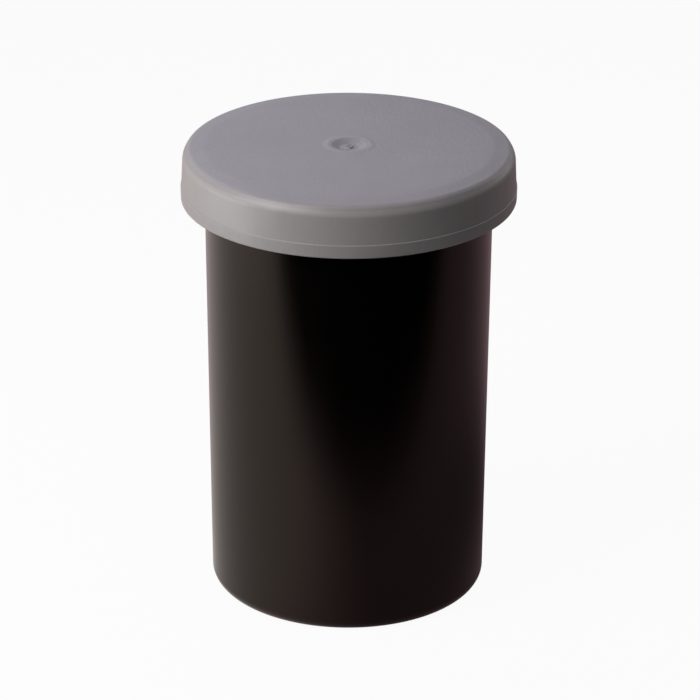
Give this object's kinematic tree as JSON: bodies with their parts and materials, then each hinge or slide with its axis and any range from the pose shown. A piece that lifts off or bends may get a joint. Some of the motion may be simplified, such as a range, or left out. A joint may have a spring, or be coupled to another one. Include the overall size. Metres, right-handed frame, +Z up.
{
  "type": "film canister",
  "caption": "Round plastic pot with a flanged rim and a close-fitting lid that snaps over it and lifts off, for keeping a film cartridge dry and dark.",
  "frame": {"origin": "centre of the foot ring, on the plane that the pot stands on", "axes": "+Z up along the pot's axis, from the foot through the lid; +X and +Y are free, because the object is turned about Z"},
  "size_m": [0.0364, 0.0364, 0.0511],
  "materials": {
    "pot_plastic": "satin moulded, stiff, light-tight black",
    "lid_plastic": "soft moulded grey, fine matt grain on the top and smooth on the skirt"
  },
  "bodies": {
    "pot": {"pot": "pot_plastic"},
    "lid": {"lid": "lid_plastic"}
  },
  "joints": [
    {"name": "lid_pull", "type": "slide", "parent": "pot", "child": "lid", "axis": [0, 0, 1], "range_m": [0, 0.06]}
  ]
}
